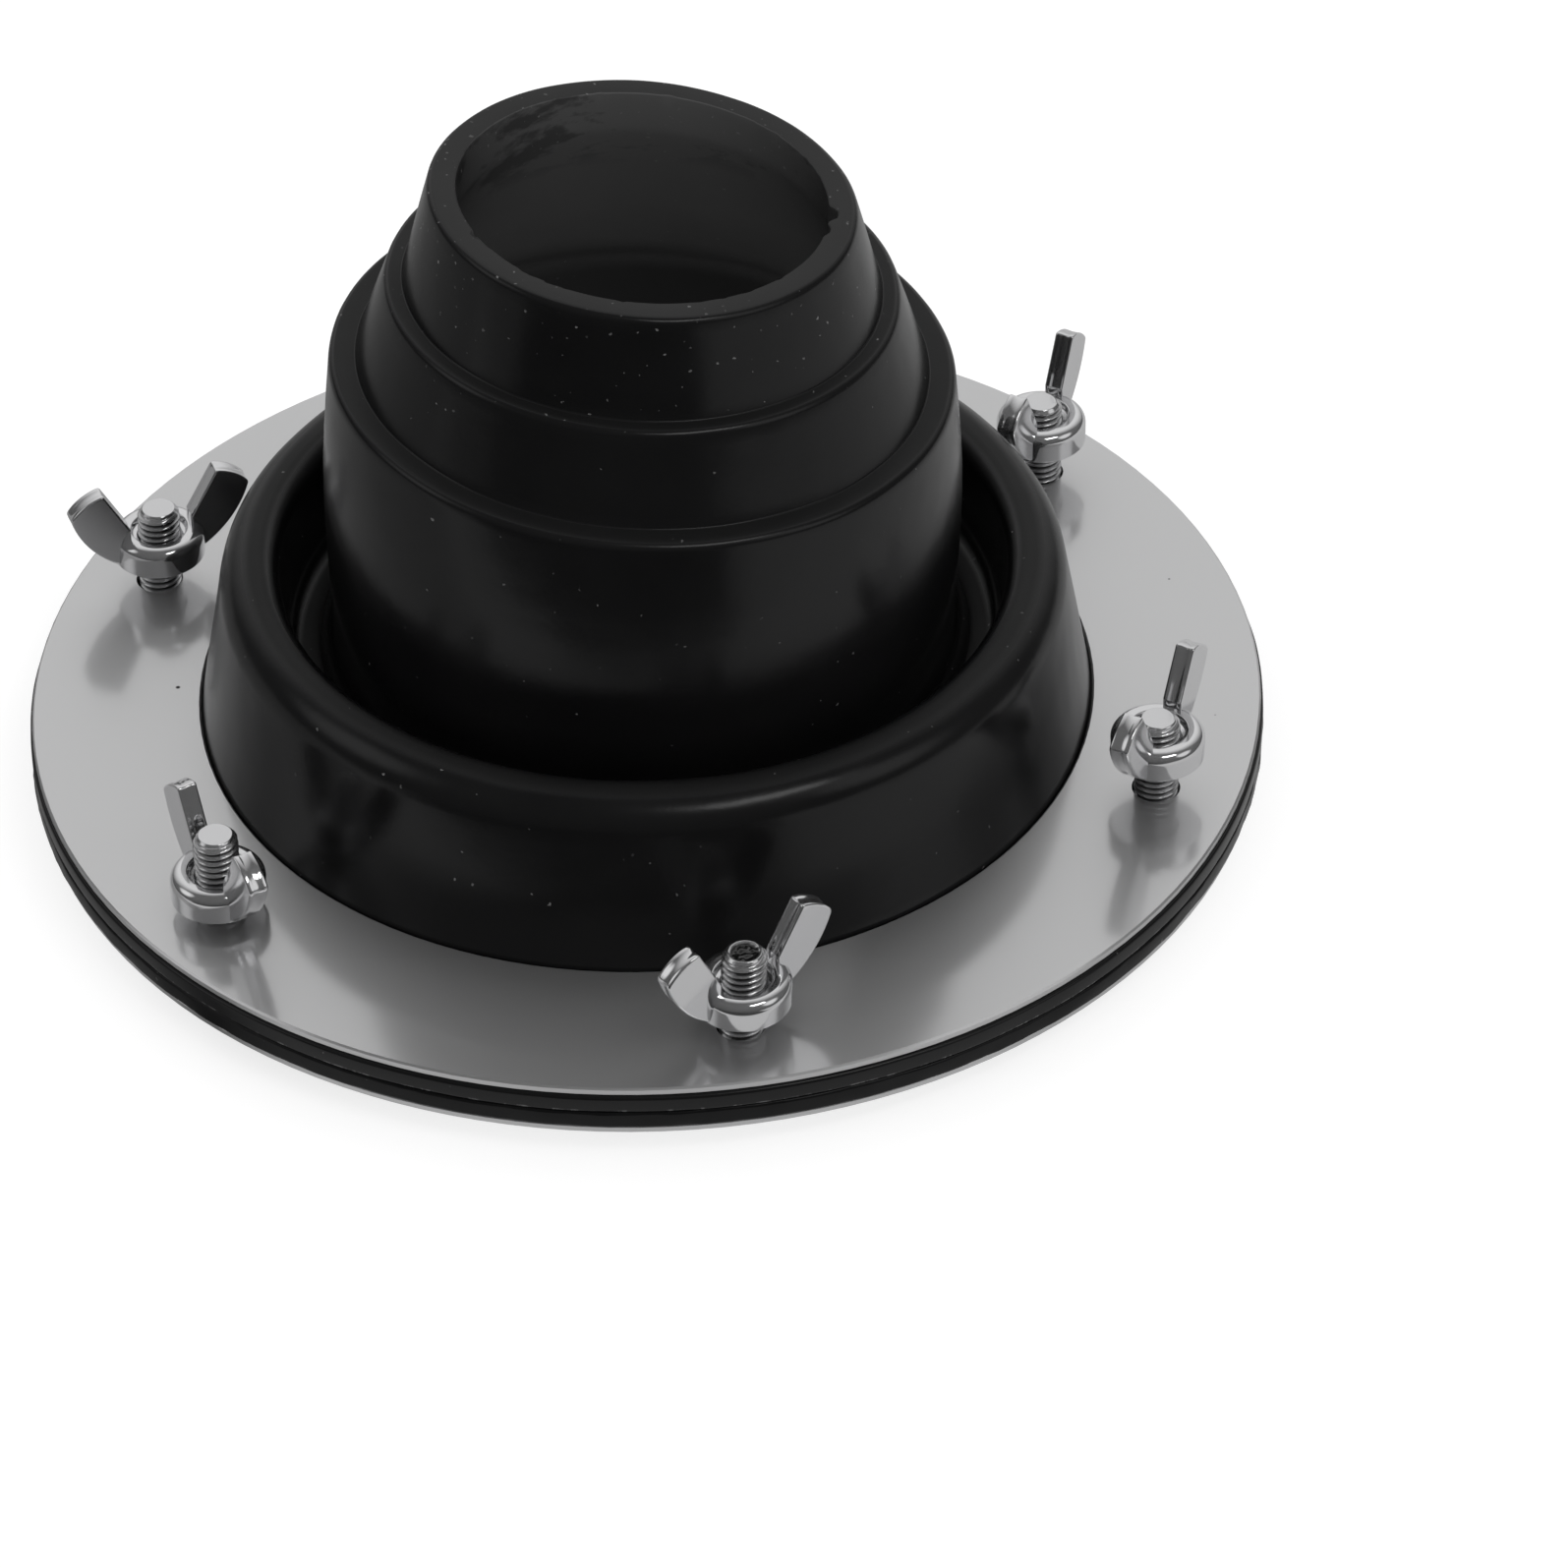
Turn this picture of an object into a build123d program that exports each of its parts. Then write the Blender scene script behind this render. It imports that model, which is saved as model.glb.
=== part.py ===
from build123d import *
import os

# Tent stove jack: a stepped rubber boot for a stove pipe, with its flange clamped
# between two flat steel rings by six hexagon bolts and wing nuts.
# The part stands on its bolt heads, so Z = 0 is the underside of the heads and Z runs
# up through the middle of the rings. All sizes are millimetres, all angles degrees.

# Clamp rings and the rubber between them
ring_thickness = 1.2
ring_edge_break = 0.25
gasket_thickness = 2.6
flange_thickness = 2.6
rubber_overhang = 0.4
rubber_edge_round = 0.5
skirt_clearance = 0.25

# Hexagon bolts, on a circle between the skirt's foot and the rings' edge
bolt_count = 6
first_bolt_angle = 38.3
bolt_to_skirt = 12.2
bolt_to_edge = 11.3
thread_diameter = 6.0
bolt_length = 20.0
bolt_tip_chamfer = 0.7
bolt_hole_clearance = 0.6
head_across_flats = 10.0
head_height = 4.0
head_face_inset = 0.3
head_chamfer_angle = 30.0

# Wing nuts: the gap left under each one, and the azimuth of its wings
nut_lifts = [5.8, 4.0, 4.4, 2.0, 3.8, 6.0]
nut_turns = [62.6, 130.0, 19.0, 118.0, 33.8, 60.5]
nut_clearance = 0.2
hub_diameter = 12.8
hub_height = 4.6
hub_round = 1.6
hub_foot_chamfer = 0.4
dimple_diameter = 8.0
dimple_depth = 0.8
wing_thickness = 2.2
wing_reach = 12.2
wing_height = 12.1
wing_shoulder_height = 9.1
wing_tip_radius = 8.0
wing_tip_round = 7.0
wing_root_radius = 4.4
wing_root_height = 6.1
wing_foot_radius = 5.8
wing_foot_height = 0.3
wing_under_round = 15.0
wing_edge_round = 0.6

# Boot, passage for the pipe
pipe_bore_diameter = 49.0
pipe_land_length = 6.0
throat_wall = 3.3
throat_drop = 5.6
shoulder_height = 5.0

# Boot, cone in three tiers: the steps and the rim were trimmed a little askew
cone_wall = 3.2
cone_lean = 0.026
step_tilt = 4.2
rim_tilt = 6.2
rim_wall = 3.7
rim_round = 1.1
step_round = 1.2
high_tier_flare = 3.6
high_tier_height = 13.5
high_ledge = 2.2
middle_tier_flare = 4.3
middle_tier_height = 12.4
middle_ledge = 3.5
low_tier_flare = 0.7
low_tier_height = 38.6
belly_swell = 0.6
belly_rise = 20.0
low_foot_height = 16.0

# Boot, trough, crest and skirt: heights are above the upper ring
trough_height = 8.9
trough_round = 3.0
trough_inner_run = 0.7
trough_outer_run = 0.5
crest_height = 23.8
crest_inner_round = 2.8
crest_outer_round = 5.6
skirt_flare = 3.4
skirt_wall = 2.8

# Radii that follow, from the pipe outwards
pipe_bore_radius = pipe_bore_diameter / 2
high_top_radius = pipe_bore_radius + rim_wall
high_foot_radius = high_top_radius + high_tier_flare
middle_top_radius = high_foot_radius + high_ledge
middle_foot_radius = middle_top_radius + middle_tier_flare
low_top_radius = middle_foot_radius + middle_ledge
low_foot_radius = low_top_radius + low_tier_flare
belly_radius = low_foot_radius + belly_swell
throat_radius = middle_foot_radius - throat_wall
chamber_top_radius = belly_radius - cone_wall
trough_radius = low_foot_radius + trough_inner_run + trough_round
crest_radius = trough_radius + trough_round + trough_outer_run + crest_inner_round
skirt_foot_radius = crest_radius + crest_outer_round + skirt_flare
ring_hole_radius = skirt_foot_radius + skirt_clearance
bolt_circle_radius = skirt_foot_radius + bolt_to_skirt
bolt_hole_radius = (thread_diameter + bolt_hole_clearance) / 2
ring_radius = bolt_circle_radius + bolt_to_edge
rubber_radius = ring_radius + rubber_overhang

# Levels that follow, from the floor up
lower_ring_base = head_height
gasket_base = lower_ring_base + ring_thickness
flange_base = gasket_base + gasket_thickness
upper_ring_base = flange_base + flange_thickness
deck = upper_ring_base + ring_thickness
low_foot_level = deck + low_foot_height

belly_height = low_foot_height + belly_rise
low_step_height = low_foot_height + low_tier_height
high_step_height = low_step_height + middle_tier_height
rim_height = high_step_height + high_tier_height
throat_height = low_step_height - throat_drop
chamber_top_height = throat_height - shoulder_height

bolt_angles = [first_bolt_angle + i * 360 / bolt_count for i in range(bolt_count)]

os.makedirs("parts", exist_ok=True)


def on_bolt_axis(angle, height, azimuth):
    """Level plane on the axis of the bolt at this angle, with X along the azimuth."""
    center = Vector(bolt_circle_radius, 0, height).rotate(Axis.Z, angle)
    return Plane(origin=center, x_dir=Vector(1, 0, 0).rotate(Axis.Z, azimuth))


def cone_plane(height, tilt):
    """Plane across the cone, off centre by its lean and dipping towards +X."""
    level = Plane(origin=(cone_lean * (height - low_foot_height), 0, deck + height))
    return level.rotated((0, tilt, 0))


def tilt_at(height):
    """Tilt of the lowest tier, which grows from nothing at its foot."""
    return step_tilt * (height - low_foot_height) / (low_step_height - low_foot_height)


def outermost(lines):
    """Of the lines that touch an arc from one point, the one on its outer side."""
    return lines.sort_by(Axis.X)[-1]


# Two flat clamp rings, alike, below and above the rubber
for name, base in [("bottom_clamp_ring", lower_ring_base), ("top_clamp_ring", upper_ring_base)]:
    with BuildPart() as clamp_ring:
        with BuildSketch(Plane.XY.offset(base)):
            Circle(ring_radius)
            Circle(ring_hole_radius, mode=Mode.SUBTRACT)
            with PolarLocations(bolt_circle_radius, bolt_count, first_bolt_angle):
                Circle(bolt_hole_radius, mode=Mode.SUBTRACT)
        extrude(amount=ring_thickness)
        ring_edges = clamp_ring.edges().filter_by(GeomType.CIRCLE)
        chamfer(ring_edges.filter_by(lambda e: e.radius > bolt_hole_radius), ring_edge_break)
    clamp_ring.part.label = name
    export_step(clamp_ring.part, f"parts/{name}.step")

# Gasket under the boot's flange
with BuildPart() as gasket_ring:
    with BuildSketch(Plane.XY.offset(gasket_base)):
        Circle(rubber_radius)
        Circle(ring_hole_radius, mode=Mode.SUBTRACT)
        with PolarLocations(bolt_circle_radius, bolt_count, first_bolt_angle):
            Circle(bolt_hole_radius, mode=Mode.SUBTRACT)
    extrude(amount=gasket_thickness)
    gasket_edges = gasket_ring.edges().filter_by(GeomType.CIRCLE)
    fillet(gasket_edges.filter_by(lambda e: e.radius > ring_radius), rubber_edge_round)
gasket_ring.part.label = "gasket_ring"
export_step(gasket_ring.part, "parts/gasket_ring.step")

# Boot: each tier of the cone as rings of (height, radius, tilt), from its foot up
low_tier = [
    (low_foot_height, low_foot_radius, 0),
    (belly_height, belly_radius, tilt_at(belly_height)),
    (low_step_height, low_top_radius, step_tilt),
]
middle_tier = [
    (low_step_height, middle_foot_radius, step_tilt),
    (high_step_height, middle_top_radius, step_tilt),
]
high_tier = [
    (high_step_height, high_foot_radius, step_tilt),
    (rim_height, high_top_radius, rim_tilt),
]
chamber = [
    (low_foot_height, low_foot_radius - cone_wall, 0),
    (belly_height, belly_radius - cone_wall, tilt_at(belly_height)),
    (chamber_top_height, chamber_top_radius, tilt_at(chamber_top_height)),
]

with BuildPart() as boot:
    crest_top = (crest_radius, deck + crest_height)
    crest_center = (crest_radius, deck + crest_height - crest_outer_round)
    trough_center = (trough_radius, deck + trough_height + trough_round)

    # Flange, skirt, crest and trough, turned as a solid disc
    with BuildSketch(Plane.XZ):
        with BuildLine():
            crest = CenterArc(crest_center, crest_outer_round, 0, 90, mode=Mode.PRIVATE)
            skirt_foot = Vector(skirt_foot_radius, deck)
            skirt = ConstrainedLines(crest, skirt_foot, selector=outermost)
            skirt_top = Vector(skirt.vertices().sort_by(Axis.Y)[-1])
            TangentArc(skirt_top, crest_top, tangent=skirt_top - skirt_foot)
            lip_center = (crest_radius, deck + crest_height - crest_inner_round)
            lip = CenterArc(lip_center, crest_inner_round, 90, 90)
            trough = CenterArc(trough_center, trough_round, 180, 180)
            Line(lip @ 1, trough @ 1)
            Polyline(
                trough @ 0,
                (low_foot_radius, low_foot_level),
                (0, low_foot_level),
                (0, flange_base),
                (rubber_radius, flange_base),
                (rubber_radius, upper_ring_base),
                (skirt_foot_radius, upper_ring_base),
                skirt_foot,
            )
        make_face()
    revolve(axis=Axis.Z)
    flange_edges = boot.edges().filter_by(GeomType.CIRCLE)
    fillet(flange_edges.filter_by(lambda e: e.radius > ring_radius), rubber_edge_round)

    # Tiers of the cone, each rounded at its top before the next one stands on it
    for rings, top_round in [(low_tier, step_round), (middle_tier, step_round), (high_tier, rim_round)]:
        for height, radius, tilt in rings:
            with BuildSketch(cone_plane(height, tilt)):
                Circle(radius)
        loft()
        fillet(boot.faces().sort_by(Axis.Z)[-1].edges(), top_round)

    # Hollow under the skirt, the crest and the trough
    with BuildSketch(Plane.XZ):
        with BuildLine():
            roof_round = crest_outer_round - skirt_wall
            roof_top = (crest_radius, deck + crest_height - skirt_wall)
            roof = CenterArc(crest_center, roof_round, 0, 90, mode=Mode.PRIVATE)
            inside_foot = Vector(skirt_foot_radius - skirt_wall, flange_base)
            inside = ConstrainedLines(roof, inside_foot, selector=outermost)
            inside_top = Vector(inside.vertices().sort_by(Axis.Y)[-1])
            TangentArc(inside_top, roof_top, tangent=inside_top - inside_foot)
            trough_under = CenterArc(trough_center, trough_round + skirt_wall, 180, 180)
            Line(roof_top, trough_under @ 1)
            Polyline(
                trough_under @ 0,
                (low_foot_radius - cone_wall, low_foot_level),
                (0, low_foot_level),
                (0, flange_base),
                inside_foot,
            )
        make_face()
    revolve(axis=Axis.Z, mode=Mode.SUBTRACT)

    # Chamber, its shoulder and the throat that narrows to the pipe land
    rim_plane = cone_plane(rim_height, rim_tilt)
    land_plane = rim_plane.offset(-pipe_land_length)
    throat_plane = cone_plane(throat_height, tilt_at(throat_height))
    chamber_top_plane = cone_plane(chamber_top_height, tilt_at(chamber_top_height))
    for height, radius, tilt in chamber:
        with BuildSketch(cone_plane(height, tilt)):
            Circle(radius)
    loft(mode=Mode.SUBTRACT)
    with BuildSketch(chamber_top_plane):
        Circle(chamber_top_radius)
    with BuildSketch(throat_plane):
        Circle(throat_radius)
    loft(mode=Mode.SUBTRACT)
    with BuildSketch(throat_plane):
        Circle(throat_radius)
    with BuildSketch(land_plane):
        Circle(pipe_bore_radius)
    loft(mode=Mode.SUBTRACT)
    with BuildSketch(rim_plane):
        Circle(pipe_bore_radius)
    extrude(amount=-pipe_land_length, mode=Mode.SUBTRACT)

    # Bolt holes through the flange
    with BuildSketch(Plane.XY.offset(flange_base)):
        with PolarLocations(bolt_circle_radius, bolt_count, first_bolt_angle):
            Circle(bolt_hole_radius)
    extrude(amount=flange_thickness, mode=Mode.SUBTRACT)
boot.part.label = "boot"
export_step(boot.part, "parts/boot.step")

# Hexagon bolts, heads down under the lower ring
for number, angle in enumerate(bolt_angles, start=1):
    with BuildPart() as hex_bolt:
        with BuildSketch(on_bolt_axis(angle, 0, angle)):
            RegularPolygon(head_across_flats / 2, 6, major_radius=False)
        extrude(amount=head_height)
        with BuildSketch(on_bolt_axis(angle, 0, angle)):
            Circle(head_across_flats / 2 - head_face_inset)
        extrude(amount=head_height, taper=head_chamfer_angle - 90, mode=Mode.INTERSECT)
        with BuildSketch(on_bolt_axis(angle, head_height, angle)):
            Circle(thread_diameter / 2)
        extrude(amount=bolt_length)
        chamfer(hex_bolt.faces().sort_by(Axis.Z)[-1].edges(), bolt_tip_chamfer)
    hex_bolt.part.label = f"hex_bolt_{number}"
    export_step(hex_bolt.part, f"parts/hex_bolt_{number}.step")

# One wing of a nut, in the plane of the nut's axis: it rises and leans outwards
with BuildPart() as wing:
    with BuildSketch(Plane.XZ):
        with BuildLine():
            root = (wing_root_radius, wing_root_height)
            tip = (wing_tip_radius, wing_height)
            shoulder = (wing_reach, wing_shoulder_height)
            foot = (wing_foot_radius, wing_foot_height)
            RadiusArc(tip, shoulder, wing_tip_round)
            RadiusArc(shoulder, foot, wing_under_round)
            Polyline(foot, (wing_root_radius, wing_foot_height), root, tip)
        make_face()
    extrude(amount=wing_thickness / 2, both=True)
    fillet(wing.faces().filter_by(Axis.Y).edges(), wing_edge_round)

# Wing nut about its own axis, its seat at the origin and its wings along X
with BuildPart() as wing_nut:
    with BuildSketch():
        Circle(hub_diameter / 2)
    extrude(amount=hub_height)
    fillet(wing_nut.faces().sort_by(Axis.Z)[-1].edges(), hub_round)
    chamfer(wing_nut.faces().sort_by(Axis.Z)[0].edges(), hub_foot_chamfer)
    add(wing.part)
    mirror(wing.part, about=Plane.YZ)
    with BuildSketch(Plane.XY.offset(hub_height - dimple_depth)):
        Circle(dimple_diameter / 2)
    extrude(amount=dimple_depth, mode=Mode.SUBTRACT)
    Hole((thread_diameter + nut_clearance) / 2)

for number, angle in enumerate(bolt_angles, start=1):
    lift = nut_lifts[number - 1]
    turn = nut_turns[number - 1]
    placed_nut = wing_nut.part.moved(on_bolt_axis(angle, deck + lift, turn).location)
    placed_nut.label = f"wing_nut_{number}"
    export_step(placed_nut, f"parts/wing_nut_{number}.step")
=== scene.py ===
import math
import random

import bpy
import numpy as np
from mathutils import Matrix, Vector, noise


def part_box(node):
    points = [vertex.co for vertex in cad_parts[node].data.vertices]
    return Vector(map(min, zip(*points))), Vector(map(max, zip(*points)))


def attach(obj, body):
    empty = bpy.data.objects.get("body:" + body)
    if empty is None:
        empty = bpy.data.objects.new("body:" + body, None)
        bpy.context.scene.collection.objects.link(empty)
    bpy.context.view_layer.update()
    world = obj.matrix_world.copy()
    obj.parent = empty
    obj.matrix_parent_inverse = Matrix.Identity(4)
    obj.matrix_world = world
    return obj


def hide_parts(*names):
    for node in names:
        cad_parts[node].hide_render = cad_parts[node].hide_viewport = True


# Looks of the tent stove jack. Sizes are millimetres in the CAD's frame and become
# metres where a mesh is made. Only those of the floor and the light, and numbers that
# stand inside a material's nodes, are metres. Angles are degrees.
MM = 0.001
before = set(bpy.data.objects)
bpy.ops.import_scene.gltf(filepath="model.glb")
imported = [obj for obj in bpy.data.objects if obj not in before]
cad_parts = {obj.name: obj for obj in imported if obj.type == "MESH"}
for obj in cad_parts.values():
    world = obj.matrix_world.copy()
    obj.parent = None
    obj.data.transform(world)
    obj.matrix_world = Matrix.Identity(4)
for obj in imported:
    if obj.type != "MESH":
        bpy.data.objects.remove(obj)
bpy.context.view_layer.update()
random.seed(7)

# Places read from the frame
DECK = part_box("top_clamp_ring")[1].z / MM
RUBBER_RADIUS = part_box("gasket_ring")[1].x / MM
GASKET_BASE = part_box("gasket_ring")[0].z / MM
FLANGE_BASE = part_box("boot")[0].z / MM
UPPER_RING_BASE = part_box("top_clamp_ring")[0].z / MM
BOLT_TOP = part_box("hex_bolt_1")[1].z / MM

# Bolts, placed as in the CAD model
BOLT_COUNT = 6
BOLT_CIRCLE_RADIUS = 73.7
BOLT_HOLE_RADIUS = 3.3
FIRST_BOLT_ANGLE = 38.3
THREAD_RADIUS = 3.0
THREAD_PITCH = 1.0
THREAD_DEPTH = 0.54
THREAD_CREST_SHARE = 0.14
THREAD_ROOT_SHARE = 0.24
THREAD_START_BELOW_DECK = 2.0
HEAD_ACROSS_FLATS = 10.0
HEAD_HEIGHT = 4.0
HEAD_FACE_INSET = 0.3
HEAD_CHAMFER_ANGLE = 30
TIP_CHAMFER = 0.75
TIP_CHAMFER_SLOPE = 0.85
TIP_INSET = 0.78
TIP_DISH = 0.02
# The one bolt with a hollow tip, and its depth
HOLLOW_TIP = 5
HOLLOW_TIP_DISH = 0.4
# Dents of the tips: size and share of the dish's depth
TIP_DENTS = (1.7, 0.7)
# Where the painted shade of the thread's grooves ends, below the tip
GROOVES_END_BELOW_TIP = 0.9
# How far each bolt leans in its holes, per unit of height
BOLT_LEANS = [(0.0, 0.0), (0.0, 0.0), (0.045, 0.0), (0.02, 0.01), (0.045, 0.0), (0.0, -0.035)]

# Wing nuts: the gap left under each one and the azimuth of its wings, as in the CAD model
NUT_LIFTS = [5.8, 4.0, 4.4, 2.0, 3.8, 6.0]
NUT_TURNS = [62.6, 130.0, 19.0, 118.0, 33.8, 60.5]
# A wing's side view: (reach, height, round) of its corners, and the radii of the arcs
# along its tip and its underside
WING_TOP = (8.2, 13.0, 0.45)
WING_TIP = (13.0, 9.9, 0.8)
WING_FOOT = (5.8, 0.3, 0.4)
WING_ROOT = [(4.4, 0.6, 0.4), (4.4, 6.1, 0.4)]
WING_TIP_ARC = 7.5
WING_UNDER_ARC = 16.0
WING_HALF_THICKNESS = 1.4
WING_EDGE_ROUND = 0.3
# The shallow groove in the rim: (share of the flat half-width, depth, lean of the surface)
WING_GROOVE_SIDE = (0.55, 0.05, -12)
WING_GROOVE_DEPTH = 0.1
# The hub's section as (radius, height, round) corners
HUB_SECTION = [
    (3.05, 0.0, 0), (6.0, 0.0, 0.1), (6.4, 0.4, 0.1), (6.4, 4.6, 1.6),
    (4.0, 4.6, 0.35), (3.75, 3.8, 0.3), (3.05, 3.6, 0.2),
]

# Boot: heights are above the upper ring's top face
SKIRT_FOOT_RADIUS = 61.5
SKIRT_WALL = 2.8
SKIRT_SLOPE = 10.5
CREST_RADIUS = 52.5
CREST_HEIGHT = 23.8
CREST_OUTER_ROUND = 5.6
CREST_INNER_ROUND = 2.8
TROUGH_RADIUS = 46.2
TROUGH_HEIGHT = 8.9
TROUGH_ROUND = 3.0
CONE_WALL = 3.2
CONE_LEAN = 0.026
STEP_TILT = 4.2
RIM_TILT = 6.2
LOW_FOOT = (42.5, 16.0)
BELLY = (43.1, 36.0)
LOW_TOP = (41.8, 54.6)
MIDDLE_FOOT_RADIUS = 38.3
MIDDLE_TOP = (34.0, 67.0)
HIGH_FOOT_RADIUS = 31.8
HIGH_TOP = (28.2, 80.5)
STEP_ROUND = 1.2
RIM_ROUND = 1.1
BORE_RADIUS = 24.5
LAND_LENGTH = 6.0
LAND_ROUND = 4.0
THROAT = (35.0, 49.0)
THROAT_ROUND = 16.0
CHAMBER_TOP_HEIGHT = 44.0
CHAMBER_ROUND = 6.0

# Boot, unevenness outwards and along its axis: size and reach of each wave
BOOT_WAVES = [(14, 0.10), (3.5, 0.03)]
BOOT_DROP_WAVES = [(12, 0.06)]
# Trimming marks at the rim: nicks of random width and depth, how far from the bore's edge
# they reach as (height, radius), and the two bites of a tear as (azimuth, width, depth)
NICK_COUNT = 26
NICK_WIDTHS = (0.3, 0.9)
NICK_DEPTHS = (0.08, 0.25)
NICK_REACH = (0.8, 0.45)
TEAR_BITES = [(-4, 1.4, 1.2), (-13, 1.1, 0.55)]
TEAR_LENGTH = 3.2
TEAR_MAX_RADIUS = BORE_RADIUS + 1.3
TEAR_MIN_HEIGHT = 70.0

# Gasket: size and reach of its cut edge's waves, and how far out from its hole it is plain
GASKET_WAVES = [(5, 0.14), (1.3, 0.07)]
GASKET_EDGE_ROUND = 0.45
GASKET_PLAIN_WIDTH = 15.0
SKIRT_CLEARANCE = 0.25

# How finely the round pieces are divided
BOOT_COLUMNS = 300
GASKET_COLUMNS = 480
BOLT_COLUMNS = 60
HUB_COLUMNS = 96
HOLE_COLUMNS = 48
THREAD_ROWS_PER_TURN = 15
TIP_ROWS = 9
WING_TIP_POINTS = 9
WING_UNDER_POINTS = 14

# Rubber's dust, painted light and wear: tones of dust (which also paints a highlight in the
# bore), of the rim's painted sheen and of specks, the height of the painted highlight dashes
# over the flange's base, how far from the axis dust lies, and what dust and level faces add to
# roughness
DUST_AND_SHEEN_COLOR = (0.080, 0.080, 0.080)
PAINTED_RIM_SHEEN_COLOR = (0.018, 0.018, 0.018)
SPECK_AND_HIGHLIGHT_COLOR = (0.14, 0.14, 0.14)
HIGHLIGHT_DASH_HEIGHT = 0.35
DUST_RADIUS = 42.0
DUST_ROUGHER = 0.3
LEVEL_FACE_ROUGHER = 0.35

# Steel: tones of pits and of the painted shade in thread grooves, the darker end of its clouds,
# and its haze
PIT_COLOR = (0.02, 0.02, 0.02)
GROOVE_SHADE_COLOR = (0.10, 0.10, 0.10)
CLOUD_SHADE = 0.94
HAZE_METALLIC = 0.87
HAZE_ROUGHER = 0.35
# Small pits in the upper ring's face: place, radius, depth of tone
RING_PITS = [(-65.0, 2.0, 0.40, 1.0), (74.2, 19.0, 0.22, 0.7), (77.9, -12.1, 0.20, 0.35)]

# The photograph: its size and the camera that took it, fitted to the rings
PHOTO_SIZE = 1595
FOCAL_PIXELS = 6500
SENSOR_WIDTH = 36.0
CAMERA_DISTANCE = 886.4
CAMERA_ELEVATION = 38.13
CAMERA_ROLL = -1.98
CENTER_PIXEL = (657.9, 691.8)

# Light on matt surfaces, and the soft panels that glossy ones show: direction, inner and
# outer half-angle, strength
DIFFUSE_LIGHT = 0.85
STUDIO_PANELS = [
    ((0, 0.79, 0.61), 22, 55, 0.62),
    ((0.75, -0.35, 0.56), 11, 19, 0.62),
    ((-0.83, -0.05, 0.55), 8, 20, 0.70),
]
# The same studio between its panels, from below to above
STUDIO_DIM = (0.055, 0.11)
LIGHT_AIM = (0, 0, 0.04)

# Floor as the object sees it: levels of a card from left to right, its share in the shade
# under the part, and level and edges of a strip in front
FLOOR_SIZE = 6
CARD_LEVELS = (0.18, 0.36)
CARD_HALF_WIDTH = 0.12
CARD_SHADE = 0.06
STRIP_LEVEL = 0.38
STRIP_NEAR_EDGE = (-0.060, -0.075)
STRIP_FAR_EDGE = (-0.115, -0.105)
CARD_BASE_SHARE = 0.4
# Floor as the camera sees it: base colour and glow, which come out white together
WHITE_FLOOR = (0.38, 0.72)


# Meshes

def mesh_object(name, points, faces, smooth=True):
    """A mesh object from points in millimetres."""
    mesh = bpy.data.meshes.new(name)
    mesh.from_pydata((np.asarray(points, float) * MM).tolist(), [], faces)
    mesh.polygons.foreach_set("use_smooth", [smooth] * len(mesh.polygons))
    mesh.update()
    obj = bpy.data.objects.new(name, mesh)
    bpy.context.scene.collection.objects.link(obj)
    return obj


def turn_angles(columns):
    """Evenly spaced angles of one turn, in radians."""
    return np.linspace(0, 2 * np.pi, columns, endpoint=False)


def grid_faces(rows, columns, closed_rows=False):
    """Quads between rows of points that close round; the last row may join the first."""
    faces = []
    for i in range(rows if closed_rows else rows - 1):
        a = i * columns
        b = ((i + 1) % rows) * columns
        for j in range(columns):
            k = (j + 1) % columns
            faces.append((a + j, a + k, b + k, b + j))
    return faces


def rounded_outline(corners, arc_step):
    """Points along a closed outline of (x, y, round) corners, each rounded to its radius."""
    points = []
    count = len(corners)
    for i, (x, y, radius) in enumerate(corners):
        corner = np.array([x, y])
        before = np.array(corners[i - 1][:2]) - corner
        after = np.array(corners[(i + 1) % count][:2]) - corner
        if radius == 0:
            points.append(corner)
            continue
        before = before / np.linalg.norm(before)
        after = after / np.linalg.norm(after)
        half = math.acos(np.clip(before @ after, -1, 1)) / 2
        middle = (before + after) / np.linalg.norm(before + after)
        center = corner + middle * radius / math.sin(half)
        reach = radius / math.tan(half)
        start = corner + before * reach - center
        end = corner + after * reach - center
        sweep = math.pi - 2 * half
        turn = math.copysign(1, start[0] * end[1] - start[1] * end[0])
        steps = max(2, math.ceil(sweep * radius / arc_step), math.ceil(sweep / 0.3))
        for k in range(steps + 1):
            a = turn * sweep * k / steps
            ca, sa = math.cos(a), math.sin(a)
            points.append(center + np.array([
                ca * start[0] - sa * start[1],
                sa * start[0] + ca * start[1],
            ]))
    return np.array(points)


def divided(points, step):
    """The same closed outline with no stretch longer than the step."""
    out = []
    for p, q in zip(points, np.roll(points, -1, axis=0)):
        parts = max(1, math.ceil(np.linalg.norm(q - p) / step))
        out += [p + (q - p) * k / parts for k in range(parts)]
    return np.array(out)


def outward_normals(outline):
    """Outward normals of a closed counterclockwise outline, one at each point."""
    ahead = np.roll(outline, -1, axis=0) - np.roll(outline, 1, axis=0)
    ahead /= np.linalg.norm(ahead, axis=1)[:, None]
    return np.stack([ahead[:, 1], -ahead[:, 0]], 1)


def waviness(where, waves):
    """How far a surface is off its plain form at a place, by waves of (size, reach)."""
    return sum(reach * noise.noise(where / size) for size, reach in waves)


def bolt_places():
    """Place and azimuth of each bolt: x, y, angle."""
    angles = [math.radians(FIRST_BOLT_ANGLE + i * 360 / BOLT_COUNT) for i in range(BOLT_COUNT)]
    return [
        (BOLT_CIRCLE_RADIUS * math.cos(a), BOLT_CIRCLE_RADIUS * math.sin(a), a)
        for a in angles
    ]


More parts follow.
